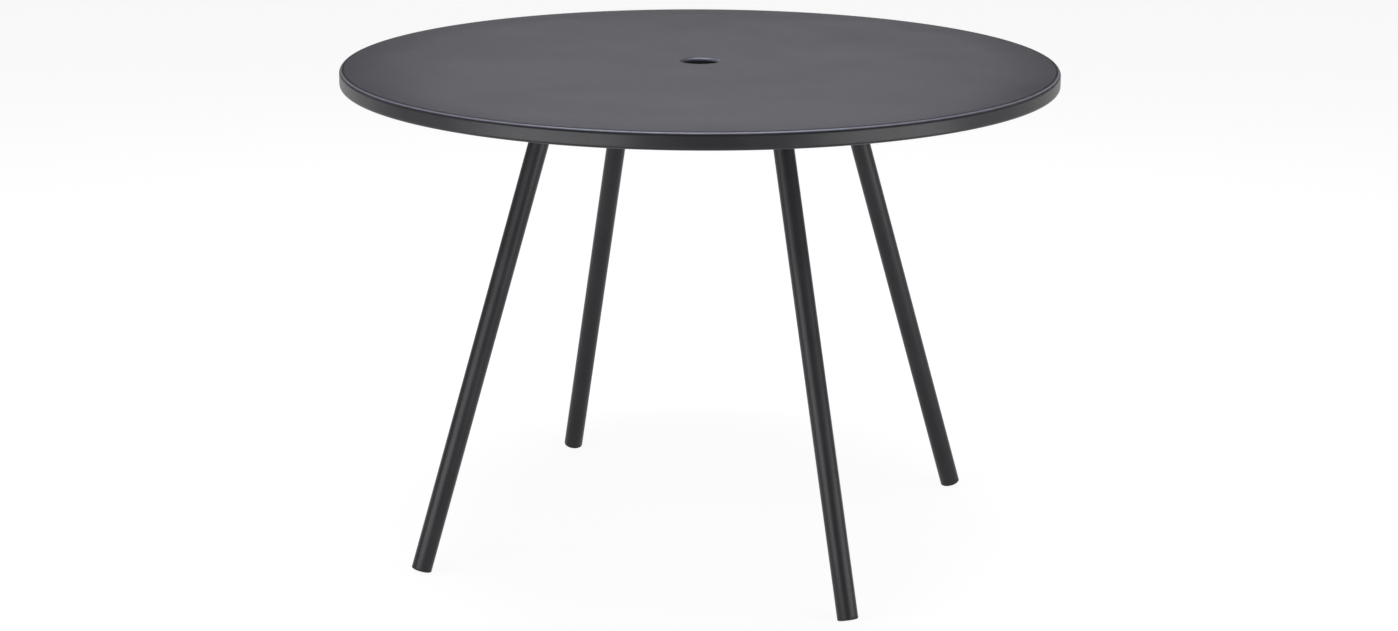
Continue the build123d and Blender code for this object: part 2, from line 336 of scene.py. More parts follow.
@dataclass
class Finishes:
    """The table's finishes, each built once, by the slot that it fills."""

    materials: dict[Slot, bpy.types.Material] = field(init=False)

    def __post_init__(self) -> None:
        """Builds the materials."""
        kinds = {
            Slot.POWDER_COAT: PowderCoat(),
            Slot.BLACK_NYLON: MouldedNylon(),
            Slot.STAINLESS_STEEL: BareMetal("cold_formed_stainless_steel", "#a9a8a5", "#c4c2be", 0.3),
            Slot.PLAIN_ALUMINIUM: BareMetal("mill_finish_aluminium", "#b4b6b8", "#cfd1d3", 0.38),
        }
        self.materials = {slot: kind.build() for slot, kind in kinds.items()}

    def __getitem__(self, slot: Slot) -> bpy.types.Material:
        """The material of a slot."""
        return self.materials[slot]


# Outlines and meshes


@dataclass(frozen=True)
class Corner:
    """A corner of an outline, and the radius that rounds it."""

    x: float
    y: float
    radius: float = 0.0

    @property
    def place(self) -> Vector:
        """The corner's place in its plane."""
        return Vector((self.x, self.y))


def rounded_corner(before: Vector, corner: Corner, after: Vector, support: float) -> list[Vector]:
    """Rounds one corner of an outline.

    Args:
        before: The corner that comes before it.
        corner: The corner.
        after: The corner that comes after it.
        support: How far beyond the arc's ends a point is added, to keep the flats beside it flat in shading.

    Returns:
        The points of its arc, or the corner itself where it is sharp.
    """
    if corner.radius == 0:
        return [corner.place]
    back = (before - corner.place).normalized()
    ahead = (after - corner.place).normalized()
    half_angle = back.angle(ahead) / 2
    reach = corner.radius / math.tan(half_angle)
    centre = corner.place + (back + ahead).normalized() * corner.radius / math.sin(half_angle)
    start = corner.place + back * reach
    end = corner.place + ahead * reach
    spoke = start - centre
    sweep = math.atan2(spoke.cross(end - centre), spoke.dot(end - centre))
    arc_length = abs(sweep) * corner.radius
    steps = max(LEAST_ARC_STEPS, math.ceil(abs(sweep) / ARC_STEP), math.ceil(arc_length / ARC_LENGTH_STEP))
    arc = [centre + Matrix.Rotation(sweep * step / steps, 2) @ spoke for step in range(steps + 1)]
    room = min((before - corner.place).length, (after - corner.place).length) - reach
    if support and room > SUPPORT_ROOM * support:
        arc = [start + back * support, *arc, end + ahead * support]
    return arc


def rounded_outline(corners: Sequence[Corner], support: float = 0.0) -> list[Vector]:
    """Rounds the corners of a closed outline.

    Args:
        corners: The corners in order.
        support: How far beyond each arc a supporting point lies.

    Returns:
        The outline's points in order.
    """
    places = [corner.place for corner in corners]
    points: list[Vector] = []
    for index, corner in enumerate(corners):
        after = places[(index + 1) % len(places)]
        points += rounded_corner(places[index - 1], corner, after, support)
    return points


@dataclass(frozen=True)
class Ring:
    """A ring of a turned piece, cut by a hexagon where it has flats."""

    radius: float
    z: float
    across_flats: float = math.inf

    def reach(self, angle: float) -> float:
        """The ring's distance from the axis at an angle.

        Args:
            angle: The angle round the axis, in radians.

        Returns:
            The distance.
        """
        sixth = math.pi / 3
        from_flat = (angle % sixth) - sixth / 2
        return min(self.radius, self.across_flats / 2 / math.cos(from_flat))


def arc_rings(radius: float, centre: tuple[float, float], start: float, end: float, steps: int) -> list[Ring]:
    """Gives the rings of a domed stretch.

    Args:
        radius: The dome section's radius.
        centre: The section's centre, as radius and height.
        start: The first ring's angle from the horizontal, in radians.
        end: The last ring's angle.
        steps: The number of steps between them.

    Returns:
        The rings in order.
    """
    angles = [start + (end - start) * step / steps for step in range(steps + 1)]
    return [Ring(centre[0] + radius * math.cos(a), centre[1] + radius * math.sin(a)) for a in angles]


def turned_mesh(name: str, rings: Sequence[Ring], segments: int, loop: bool = False) -> bpy.types.Mesh:
    """Skins a stack of rings.

    Args:
        name: The mesh's name.
        rings: The rings in order, with one of no radius where the piece closes on its axis.
        segments: The number of points on a ring.
        loop: Whether the last ring joins the first, as round a hole.

    Returns:
        The closed mesh.
    """
    mesh_builder = bmesh.new()
    angles = [2 * math.pi * step / segments for step in range(segments)]
    loops = []
    for ring in rings:
        points = [(ring.reach(a) * math.cos(a), ring.reach(a) * math.sin(a), ring.z) for a in angles]
        loops.append([mesh_builder.verts.new(point) for point in points])
    following = loops[1:] + loops[:1] if loop else loops[1:]
    for lower, upper in zip(loops, following):
        for step in range(segments):
            ahead = (step + 1) % segments
            mesh_builder.faces.new((lower[step], lower[ahead], upper[ahead], upper[step]))
    return closed_mesh(name, mesh_builder)


def closed_mesh(name: str, mesh_builder: bmesh.types.BMesh) -> bpy.types.Mesh:
    """Merges doubles, turns the faces outwards, and shades smooth between sharp edges.

    Args:
        name: The mesh's name.
        mesh_builder: The faces, which this call frees.

    Returns:
        The finished mesh.
    """
    bmesh.ops.remove_doubles(mesh_builder, verts=mesh_builder.verts, dist=MERGE_DISTANCE)
    bmesh.ops.dissolve_degenerate(mesh_builder, edges=mesh_builder.edges, dist=MERGE_DISTANCE)
    bmesh.ops.recalc_face_normals(mesh_builder, faces=mesh_builder.faces)
    for face in mesh_builder.faces:
        face.smooth = True
    mesh = bpy.data.meshes.new(name)
    mesh_builder.to_mesh(mesh)
    mesh_builder.free()
    mesh.set_sharp_from_angle(angle=SHARP_ANGLE)
    return mesh


def new_object(name: str, mesh: bpy.types.Mesh) -> bpy.types.Object:
    """Adds an object to the scene.

    Args:
        name: The object's name.
        mesh: Its mesh.

    Returns:
        The object.
    """
    thing = bpy.data.objects.new(name, mesh)
    bpy.context.scene.collection.objects.link(thing)
    return thing


def place_piece(name: str, mesh: bpy.types.Mesh, node: str) -> None:
    """Adds a finished piece that stands for a CAD node.

    Args:
        name: The piece's name.
        mesh: Its mesh, in its place in the CAD frame.
        node: The CAD node that it replaces.
    """
    piece = new_object(name, mesh)
    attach(piece, ROOT_BODY)
    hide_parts(node)
    LOG.info("%s: %d faces, for %s", name, len(mesh.polygons), node)


# Geometry Nodes trees


def new_tree(name: str, sockets: dict[str, str]) -> tuple[bpy.types.NodeTree, Any]:
    """Makes a geometry tree with named inputs and one geometry output.

    Args:
        name: The tree's name.
        sockets: The kind of each input, by its name.

    Returns:
        The tree and its inputs' sockets.
    """
    tree = bpy.data.node_groups.new(name, "GeometryNodeTree")
    for socket, kind in sockets.items():
        tree.interface.new_socket(socket, in_out="INPUT", socket_type="NodeSocket" + kind)
    tree.interface.new_socket("Geometry", in_out="OUTPUT", socket_type="NodeSocketGeometry")
    return tree, add_node(tree, "NodeGroupInput")


def end_tree(tree: bpy.types.NodeTree, geometry: Any, finish: Any) -> None:
    """Ends a tree in real geometry with its finish.

    Args:
        tree: The tree.
        geometry: The socket that gives the geometry.
        finish: The socket that gives the material.
    """
    real = add_node(tree, "GeometryNodeRealizeInstances", {"Geometry": geometry})
    coated = add_node(tree, "GeometryNodeSetMaterial", {"Geometry": real[0], "Material": finish})
    add_node(tree, "NodeGroupOutput", {"Geometry": coated[0]})


def mesh_from_tree(name: str, tree: bpy.types.NodeTree, values: dict[str, Any]) -> bpy.types.Mesh:
    """Runs a tree once and keeps its result as a plain mesh.

    Args:
        name: The mesh's name.
        tree: The tree.
        values: The tree's inputs by name.

    Returns:
        The mesh, merged, turned outwards and shaded.
    """
    host = new_object(name + "_nodes", bpy.data.meshes.new(name + "_host"))
    modifier = host.modifiers.new("nodes", "NODES")
    modifier.node_group = tree
    for item in tree.interface.items_tree:
        if item.in_out == "INPUT":
            modifier[item.identifier] = values[item.name]
    graph = bpy.context.evaluated_depsgraph_get()
    made = bpy.data.meshes.new_from_object(host.evaluated_get(graph), depsgraph=graph)
    bpy.data.objects.remove(host)
    mesh_builder = bmesh.new()
    mesh_builder.from_mesh(made)
    bpy.data.meshes.remove(made)
    for face in mesh_builder.faces:
        face.material_index = 0
    mesh = closed_mesh(name, mesh_builder)
    mesh.materials.append(values["Finish"])
    return mesh


@dataclass
class Turning:
    """A section turned about the Z axis, as on a spinning lathe."""

    tree: bpy.types.NodeTree = field(init=False)

    def __post_init__(self) -> None:
        """Builds the tree: the section is swept along a circle."""
        self.tree, given = new_tree(
            "turned_section",
            {
                "Section": "Object",
                "Path Radius": "Float",
                "Segments": "Int",
                "Finish": "Material",
            },
        )
        section = add_node(self.tree, "GeometryNodeObjectInfo", {"Object": given["Section"]})
        outline = add_node(self.tree, "GeometryNodeMeshToCurve", {"Mesh": section["Geometry"]})
        circle = {"Resolution": given["Segments"], "Radius": given["Path Radius"]}
        path = add_node(self.tree, "GeometryNodeCurvePrimitiveCircle", circle)
        swept = {"Curve": path["Curve"], "Profile Curve": outline["Curve"]}
        skin = add_node(self.tree, "GeometryNodeCurveToMesh", swept)
        end_tree(self.tree, skin["Mesh"], given["Finish"])

    def mesh(
        self,
        name: str,
        outline: Sequence[Vector],
        segments: int,
        finish: bpy.types.Material,
        closed: bool = True,
    ) -> bpy.types.Mesh:
        """Turns an outline about the Z axis.

        Args:
            name: The mesh's name.
            outline: Points of radius and height.
            segments: The number of steps round the axis.
            finish: The material.
            closed: Whether the last point joins the first. An open outline starts and ends on the axis.

        Returns:
            The turned mesh.
        """
        path_radius = max(point.x for point in outline)
        # The sweep carries a section's second axis downwards
        places = [(point.x - path_radius, -point.y, 0.0) for point in outline]
        edges = [(index, index + 1) for index in range(len(places) - 1)]
        if closed:
            edges.append((len(places) - 1, 0))
        section_mesh = bpy.data.meshes.new(name + "_section")
        section_mesh.from_pydata(places, edges, [])
        section = new_object(name + "_section", section_mesh)
        values = {"Section": section, "Path Radius": path_radius, "Segments": segments, "Finish": finish}
        mesh = mesh_from_tree(name, self.tree, values)
        bpy.data.objects.remove(section)
        return mesh


@dataclass(frozen=True)
class Row:
    """Copies of one thing on a line: their number and their spacing."""

    count: int = 1
    spacing: float = 0.0


@dataclass
class LegPattern:
    """The places of the legs, and rows of one fastener at each, repeated round the Z axis."""

    finishes: Finishes
    legs: int = 4
    first_azimuth: float = math.radians(45.0)
    tree: bpy.types.NodeTree = field(init=False)

    def __post_init__(self) -> None:
        """Builds the tree: fasteners on a row, rows on a line along the radius, and those round the axis."""
        self.tree, given = new_tree(
            "fasteners_at_each_leg",
            {
                "Fastener": "Object",
                "Leg Count": "Int",
                "First Azimuth": "Float",
                "First Place": "Vector",
                "Rows": "Int",
                "Row Step": "Vector",
                "Row Length": "Int",
                "Step In Row": "Vector",
                "Finish": "Material",
            },
        )
        piece = add_node(self.tree, "GeometryNodeObjectInfo", {"Object": given["Fastener"]})["Geometry"]
        lines = (
            {"Count": given["Row Length"], "Offset": given["Step In Row"]},
            {"Count": given["Rows"], "Start Location": given["First Place"], "Offset": given["Row Step"]},
        )
        for line in lines:
            points = add_node(self.tree, "GeometryNodeMeshLine", line)["Mesh"]
            made = add_node(self.tree, "GeometryNodeInstanceOnPoints", {"Points": points, "Instance": piece})
            piece = made["Instances"]
        centre = {"Count": given["Leg Count"], "Offset": (0.0, 0.0, 0.0)}
        hubs = add_node(self.tree, "GeometryNodeMeshLine", centre)["Mesh"]
        index = add_node(self.tree, "GeometryNodeInputIndex")["Index"]
        turn = {0: 2 * math.pi, 1: given["Leg Count"]}
        step = add_node(self.tree, "ShaderNodeMath", turn, operation="DIVIDE")[0]
        sums = {0: index, 1: step, 2: given["First Azimuth"]}
        azimuth = add_node(self.tree, "ShaderNodeMath", sums, operation="MULTIPLY_ADD")[0]
        spin = {"Axis": (0.0, 0.0, 1.0), "Angle": azimuth}
        rotation = add_node(self.tree, "FunctionNodeAxisAngleToRotation", spin)["Rotation"]
        around = {"Points": hubs, "Instance": piece, "Rotation": rotation}
        ring = add_node(self.tree, "GeometryNodeInstanceOnPoints", around)
        end_tree(self.tree, ring["Instances"], given["Finish"])

    def azimuth(self, number: int) -> float:
        """The azimuth of a leg, counted from 0."""
        return self.first_azimuth + 2 * math.pi * number / self.legs

    def build(
        self,
        name: str,
        fastener: bpy.types.Mesh,
        first: Vector,
        slot: Slot,
        node: str,
        along: Row = Row(),
        across: Row = Row(),
    ) -> None:
        """Repeats a fastener, and lets the set stand for its CAD node.

        Args:
            name: The set's name.
            fastener: One fastener at the origin.
            first: The place of the first one, with X along the first leg's radius before it is turned.
            slot: The material slot that the set takes its finish from.
            node: The CAD node that the set replaces.
            along: The rows along the radius.
            across: The fasteners in a row.
        """
        pattern_piece = new_object(name + "_one", fastener)
        values = {
            "Fastener": pattern_piece,
            "Leg Count": self.legs,
            "First Azimuth": self.first_azimuth,
            "First Place": first,
            "Rows": along.count,
            "Row Step": Vector((along.spacing, 0.0, 0.0)),
            "Row Length": across.count,
            "Step In Row": Vector((0.0, across.spacing, 0.0)),
            "Finish": self.finishes[slot],
        }
        mesh = mesh_from_tree(name, self.tree, values)
        bpy.data.objects.remove(pattern_piece)
        place_piece(name, mesh, node)


@dataclass
class WeldBead:
    """A rippled bead laid along an ellipse, as a hand weld round a mitred tube."""

    sides: int = 20
    tree: bpy.types.NodeTree = field(init=False)

    def __post_init__(self) -> None:
        """Builds the tree: a round bead whose size ripples along an ellipse."""
        self.tree, given = new_tree(
            "weld_bead",
            {
                "Half Length": "Float",
                "Half Width": "Float",
                "Bead Radius": "Float",
                "Ripples": "Int",
                "Ripple Share": "Float",
                "Steps": "Int",
                "Finish": "Material",
            },
        )
        axes = {"X": given["Half Length"], "Y": given["Half Width"], "Z": 1.0}
        stretch = add_node(self.tree, "ShaderNodeCombineXYZ", axes)["Vector"]
        ring = {"Resolution": given["Steps"], "Radius": 1.0}
        circle = add_node(self.tree, "GeometryNodeCurvePrimitiveCircle", ring)["Curve"]
        ellipse = add_node(self.tree, "GeometryNodeTransform", {"Geometry": circle, "Scale": stretch})
        value = add_node(self.tree, "GeometryNodeInputIndex")["Index"]
        steps = (("DIVIDE", given["Steps"]), ("MULTIPLY", given["Ripples"]), ("MULTIPLY", 2 * math.pi))
        for operation, other in steps:
            terms = {0: value, 1: other}
            value = add_node(self.tree, "ShaderNodeMath", terms, operation=operation)[0]
        wave = add_node(self.tree, "ShaderNodeMath", {0: value}, operation="SINE")[0]
        size = {0: wave, 1: given["Ripple Share"], 2: 1.0}
        scale = add_node(self.tree, "ShaderNodeMath", size, operation="MULTIPLY_ADD")[0]
        section = {"Resolution": self.sides, "Radius": given["Bead Radius"]}
        bead = add_node(self.tree, "GeometryNodeCurvePrimitiveCircle", section)["Curve"]
        swept = {"Curve": ellipse["Geometry"], "Profile Curve": bead, "Scale": scale}
        skin = add_node(self.tree, "GeometryNodeCurveToMesh", swept)
        end_tree(self.tree, skin["Mesh"], given["Finish"])


# The table


@dataclass(frozen=True)
class HighlightBand:
    """The part of a bend that gets a painted highlight: between two leans of the surface, and most towards
    one side.
    """

    lean_from: float
    lean_to: float
    side: float
    least: float

    def share(self, place: Vector, normal: Vector) -> float:
        """How much painted highlight a point gets.

        Args:
            place: The point.
            normal: The surface's normal there.

        Returns:
            A share from 0 to 1.
        """
        lean = math.acos(max(-1.0, min(1.0, normal.z)))
        across = (lean - self.lean_from) / (self.lean_to - self.lean_from)
        band = math.sin(math.pi * max(0.0, min(1.0, across))) ** 2
        nearness = (0.5 + 0.5 * math.cos(math.atan2(place.y, place.x) - self.side)) ** 2
        return band * (self.least + (1.0 - self.least) * nearness)


@dataclass
class TopSheet:
    """The pressed top: a flat that falls to the edge, a turned-down rim, a hem and a drawn parasol hole."""

    finishes: Finishes
    turning: Turning
    sheet: float = 3.0 * MM
    edge_fall: float = 5.0 * MM
    edge_fall_width: float = 110.0 * MM
    edge_inside_radius: float = 3.0 * MM
    hem_width: float = 12.0 * MM
    hem_inside_radius: float = 1.5 * MM
    bore_radius: float = 27.0 * MM
    lip_depth: float = 18.0 * MM
    lip_inside_radius: float = 4.5 * MM
    cut_edge_radius: float = 0.8 * MM
    support: float = 1.5 * MM
    # Bends nearer to the axis than this belong to the lip
    lip_zone_radius: float = 54.0 * MM
    # Painted highlights: the edge's is strongest on the side towards the camera, and the lip's on the side
    # away from it, whose bend faces the camera
    edge_highlight: HighlightBand = HighlightBand(math.radians(8.0), math.radians(62.0), math.radians(-72.0), 0.35)
    lip_highlight: HighlightBand = HighlightBand(math.radians(4.0), math.radians(79.0), math.radians(88.0), 0.0)
    segments: int = 400

    def outline(self) -> list[Vector]:
        """The sheet's closed section, as radius and height, from the frame's own radius and levels.

        Returns:
            The section's points in order.
        """
        low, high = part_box("table_top")
        radius, top, rim = high.x, high.z, low.z
        sheet, cut = self.sheet, self.cut_edge_radius
        hem, lip, edge = radius - self.hem_width, top - self.lip_depth, top - self.edge_fall
        edge_bend = self.edge_inside_radius + sheet
        half_fall = self.edge_fall_width / 2
        slope = self.edge_fall / half_fall
        angle = math.atan(slope)
        fall_bend = (half_fall - edge_bend) / math.tan(angle / 2)
        # The inner face of the falling stretch lies a sheet's thickness below it, square to its slope
        inner_edge = edge + sheet * slope - sheet / math.cos(angle)
        inner_fall = radius - (self.edge_fall - sheet + sheet / math.cos(angle)) / slope
        corners = [
            Corner(self.bore_radius, lip, cut),
            Corner(self.bore_radius, top, self.lip_inside_radius + sheet),
            Corner(radius - half_fall, top, fall_bend),
            Corner(radius, edge, edge_bend),
            Corner(radius, rim, self.hem_inside_radius + sheet),
            Corner(hem, rim, cut),
            Corner(hem, rim + sheet, cut),
            Corner(radius - sheet, rim + sheet, self.hem_inside_radius),
            Corner(radius - sheet, inner_edge, self.edge_inside_radius),
            Corner(inner_fall, top - sheet, fall_bend - sheet),
            Corner(self.bore_radius + sheet, top - sheet, self.lip_inside_radius),
            Corner(self.bore_radius + sheet, lip, cut),
        ]
        return rounded_outline(corners, self.support)

    def mark_highlighted_bends(self, mesh: bpy.types.Mesh) -> None:
        """Marks how much painted highlight the bends at the edge and round the hole get.

        Args:
            mesh: The top's mesh.
        """
        highlight_share = mesh.attributes.new(HIGHLIGHT_ATTRIBUTE, "FLOAT", "POINT")
        for vertex, mark in zip(mesh.vertices, highlight_share.data):
            band = self.lip_highlight if vertex.co.xy.length < self.lip_zone_radius else self.edge_highlight
            mark.value = band.share(vertex.co, vertex.normal)

    def build(self) -> None:
        """Turns the section into the top."""
        coat = self.finishes[Slot.POWDER_COAT]
        mesh = self.turning.mesh("top_sheet", self.outline(), self.segments, coat)
        self.mark_highlighted_bends(mesh)
        place_piece("top_sheet", mesh, "table_top")


@dataclass
class Legs:
    """The four splayed tube legs, with their plugs, flanges, welds, bolts and washers."""

    finishes: Finishes
    turning: Turning
    pattern: LegPattern
    weld: WeldBead
    tube_radius: float = 15.5 * MM
    tube_wall: float = 2.5 * MM
    tube_cut_edge: float = 0.4 * MM
    tube_stretches: int = 12
    tube_segments: int = 96
    splay: float = math.radians(17.5)
    plug_head: float = 3.0 * MM
    plug_edge_radius: float = 2.0 * MM
    plug_shoulder_radius: float = 0.3 * MM
    plug_segments: int = 64
    spigot_length: float = 24.0 * MM
    rib_count: int = 3
    rib_width: float = 2.5 * MM
    rib_depth: float = 1.2 * MM
    flange_margin: float = 5.0 * MM
    flange_corner_radius: float = 12.0 * MM
    flange_edge: float = 0.8 * MM
    flange_edge_steps: int = 3
    bolt_spacing_radial: float = 84.5 * MM
    bolt_spacing_across: float = 30.0 * MM
    bolt_radius: float = 4.0 * MM
    bolt_end_chamfer: float = 0.8 * MM
    bolt_head_radius: float = 7.0 * MM
    bolt_head_flat_radius: float = 4.0 * MM
    bolt_head_height: float = 4.4 * MM
    bolt_head_steps: int = 12
    socket_width: float = 5.0 * MM
    socket_depth: float = 2.6 * MM
    socket_point: float = 0.6 * MM
    socket_chamfer: float = 0.2 * MM
    washer_radius: float = 8.0 * MM
    washer_hole_radius: float = 4.5 * MM
    washer_thickness: float = 1.6 * MM
    washer_edge: float = 0.25 * MM
    weld_offset: float = 1.0 * MM
    weld_radius: float = 2.9 * MM
    weld_ripples: int = 44
    weld_ripple_share: float = 0.05
    steps_per_ripple: int = 8
    underside: float = field(init=False)
    flange_top: float = field(init=False)
    top_radius: float = field(init=False)
    axis_length: float = field(init=False)
    tube_length: float = field(init=False)

    def __post_init__(self) -> None:
        """Reads the flange's place from the frame, and works out the leg's axis."""
        low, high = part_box("leg_flange_1")
        self.underside = low.z
        self.flange_top = high.z
        middle = (low + high) / 2
        self.top_radius = Vector((middle.x, middle.y)).length
        edge_ring = self.tube_radius - self.plug_edge_radius
        face_height = edge_ring * math.sin(self.splay) + self.plug_edge_radius * (1 - math.cos(self.splay))
        self.axis_length = (self.underside - face_height) / math.cos(self.splay)
        self.tube_length = self.axis_length - self.plug_head

    def along_leg(self, number: int) -> Matrix:
        """The frame of a leg: Z runs down its axis from the flange's underside, and X inwards.

        Args:
            number: The leg, counted from 0.

        Returns:
            The frame, as a matrix.
        """
        tilt = Matrix.Rotation(math.pi - self.splay, 4, "Y")
        place = Matrix.Translation((self.top_radius, 0.0, self.underside))
        return Matrix.Rotation(self.pattern.azimuth(number), 4, "Z") @ place @ tilt

    def tube_mesh(self) -> bpy.types.Mesh:
        """Turns the tube in its own frame and cuts its top to the flange's slope.

        Returns:
            The tube's mesh.
        """
        inner = self.tube_radius - self.tube_wall
        edge, length = self.tube_cut_edge, self.tube_length
        levels = [length * step / self.tube_stretches for step in range(1, self.tube_stretches)]
        corners = [Corner(inner, 0.0), Corner(self.tube_radius, 0.0)]
        corners += [Corner(self.tube_radius, level) for level in levels]
        corners += [Corner(self.tube_radius, length, edge), Corner(inner, length, edge)]
        coat = self.finishes[Slot.POWDER_COAT]
        mesh = self.turning.mesh("leg_tube_turned", rounded_outline(corners), self.tube_segments, coat)
        for vertex in mesh.vertices:
            if vertex.co.z < edge:
                vertex.co.z = -vertex.co.x * math.tan(self.splay)
        return mesh

    def plug_outline(self) -> list[Vector]:
        """The plug's open section: its head's face, its rounded edge and its ribbed spigot.

        Returns:
            The section's points in order.
        """
        spigot = self.tube_radius - self.tube_wall
        core = spigot - self.rib_depth
        pitch = self.spigot_length / (self.rib_count + 1)
        corners = [
            Corner(0.0, self.axis_length),
            Corner(self.tube_radius, self.axis_length, self.plug_edge_radius),
            Corner(self.tube_radius, self.tube_length, self.plug_shoulder_radius),
            Corner(core, self.tube_length),
        ]
        for rib in range(self.rib_count):
            middle = self.tube_length - (rib + 1) * pitch
            for end in (middle + self.rib_width / 2, middle - self.rib_width / 2):
                steps = (core, spigot) if end > middle else (spigot, core)
                corners += [Corner(radius, end) for radius in steps]
        corners += [
            Corner(core, self.tube_length - self.spigot_length),
            Corner(0.0, self.tube_length - self.spigot_length),
        ]
        return rounded_outline(corners)

    def place_at_leg(self, number: int, place: Matrix, name: str, mesh: bpy.types.Mesh) -> None:
        """Places a copy of a mesh at a leg.

        Args:
            number: The leg, counted from 0.
            place: The copy's place in the CAD frame.
            name: The piece's name, without its number.
            mesh: The mesh in its own frame.
        """
        placed = mesh.copy()
        placed.transform(place)
        place_piece(f"{name}_{number + 1}_dressed", placed, f"{name}_{number + 1}")

    def build_tubes_and_plugs(self) -> None:
        """Builds a tube and a plug for each leg."""
        tube = self.tube_mesh()
        nylon = self.finishes[Slot.BLACK_NYLON]
        outline = self.plug_outline()
        plug = self.turning.mesh("foot_plug_turned", outline, self.plug_segments, nylon, closed=False)
        for number in range(self.pattern.legs):
            place = self.along_leg(number)
            self.place_at_leg(number, place, "leg_tube", tube)
            self.place_at_leg(number, place, "foot_plug", plug)

    def flange_mesh(self) -> bpy.types.Mesh:
        """The plate on a leg's mitred top, across the X axis, with its edges broken.

        Returns:
            The plate's mesh.
        """
        margin = self.washer_radius + self.flange_margin
        half_length = self.bolt_spacing_radial / 2 + margin
        half_width = self.bolt_spacing_across / 2 + margin
        sides = ((-1, -1), (1, -1), (1, 1), (-1, 1))
        round_off = self.flange_corner_radius
        outline = rounded_outline([Corner(x * half_length, y * half_width, round_off) for x, y in sides])
        mesh_builder = bmesh.new()
        base = [mesh_builder.verts.new((self.top_radius + p.x, p.y, self.underside)) for p in outline]
        face = mesh_builder.faces.new(base)
        raised = bmesh.ops.extrude_face_region(mesh_builder, geom=[face])
        lifted = [thing for thing in raised["geom"] if isinstance(thing, bmesh.types.BMVert)]
        rise = Vector((0.0, 0.0, self.flange_top - self.underside))
        bmesh.ops.translate(mesh_builder, verts=lifted, vec=rise)
        rims = []
        for edge in mesh_builder.edges:
            start, end = edge.verts
            if abs(start.co.z - end.co.z) < MERGE_DISTANCE:
                rims.append(edge)
        bmesh.ops.bevel(
            mesh_builder,
            geom=rims,
            offset=self.flange_edge,
            segments=self.flange_edge_steps,
            profile=ROUND_PROFILE,
            affect="EDGES",
        )
        mesh = closed_mesh("leg_flange_plate", mesh_builder)
        mesh.materials.append(self.finishes[Slot.POWDER_COAT])
        return mesh

    def build_flanges(self) -> None:
        """Builds the plate on each leg's mitred top."""
        flange = self.flange_mesh()
        for number in range(self.pattern.legs):
            turn = Matrix.Rotation(self.pattern.azimuth(number), 4, "Z")
            self.place_at_leg(number, turn, "leg_flange", flange)

    def build_welds(self) -> None:
        """Builds the bead round each leg's mitre."""
        half_length = self.tube_radius / math.cos(self.splay)
        values = {
            "Half Length": half_length + self.weld_offset,
            "Half Width": self.tube_radius + self.weld_offset,
            "Bead Radius": self.weld_radius,
            "Ripples": self.weld_ripples,
            "Ripple Share": self.weld_ripple_share,
            "Steps": self.weld_ripples * self.steps_per_ripple,
            "Finish": self.finishes[Slot.POWDER_COAT],
        }
        bead = mesh_from_tree("leg_weld_bead", self.weld.tree, values)
        drop = self.weld_offset
        first = Vector((self.top_radius + drop * math.tan(self.splay), 0.0, self.underside - drop))
        self.pattern.build("leg_weld_beads", bead, first, Slot.POWDER_COAT, "leg_welds")

    def bolt_mesh(self) -> bpy.types.Mesh:
        """One button-head bolt, with its washer face at the origin and its head below.

        Returns:
            The bolt's mesh.
        """
        radius, flat, height = self.bolt_head_radius, self.bolt_head_flat_radius, self.bolt_head_height
        inset = radius - flat
        dome = (inset**2 + height**2) / (2 * inset)
        end = -math.asin(height / dome)
        head = arc_rings(dome, (radius - dome, 0.0), 0.0, end, self.bolt_head_steps)
        socket, depth, break_edge = self.socket_width, self.socket_depth, self.socket_chamfer
        _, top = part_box("leg_bolts")
        shank = top.z - (self.underside - self.washer_thickness)
        chamfer = self.bolt_end_chamfer
        rings = [
            Ring(0.0, -height + depth + self.socket_point),
            Ring(flat, -height + depth, socket),
            Ring(flat, -height + break_edge, socket),
            Ring(flat, -height, socket + 2 * break_edge),
            *reversed(head),
            Ring(self.bolt_radius, 0.0),
            Ring(self.bolt_radius, shank - chamfer),
            Ring(self.bolt_radius - chamfer, shank),
            Ring(0.0, shank),
        ]
        return turned_mesh("leg_bolt", rings, FASTENER_SEGMENTS)

    def washer_mesh(self) -> bpy.types.Mesh:
        """One pressed washer, with its upper face at the origin and its edges broken.

        Returns:
            The washer's mesh.
        """
        outer, inner = self.washer_radius, self.washer_hole_radius
        thick, edge = self.washer_thickness, self.washer_edge
        rings = [
            Ring(inner, -edge),
            Ring(inner, edge - thick),
            Ring(inner + edge, -thick),
            Ring(outer - edge, -thick),
            Ring(outer, edge - thick),
            Ring(outer, -edge),
            Ring(outer - edge, 0.0),
            Ring(inner + edge, 0.0),
        ]
        return turned_mesh("leg_washer", rings, FASTENER_SEGMENTS, loop=True)

    def build_bolts(self) -> None:
        """Builds the bolts and washers of all legs."""
        inner_row = self.top_radius - self.bolt_spacing_radial / 2
        first = Vector((inner_row, -self.bolt_spacing_across / 2, self.underside))
        below = Vector((0.0, 0.0, -self.washer_thickness))
        sets = (
            ("leg_bolt_set", self.bolt_mesh(), first + below, "leg_bolts"),
            ("leg_washer_set", self.washer_mesh(), first, "leg_washers"),
        )
        along, across = Row(PAIR, self.bolt_spacing_radial), Row(PAIR, self.bolt_spacing_across)
        for name, fastener, place, node in sets:
            self.pattern.build(name, fastener, place, Slot.STAINLESS_STEEL, node, along, across)

    def dress_backing_plates(self, nodes: dict[str, bpy.types.Object]) -> None:
        """Gives the backing plates inside the rails their finish."""
        for number in range(self.pattern.legs):
            dress_node(nodes[f"backing_plate_{number + 1}"], self.finishes[Slot.PLAIN_ALUMINIUM])

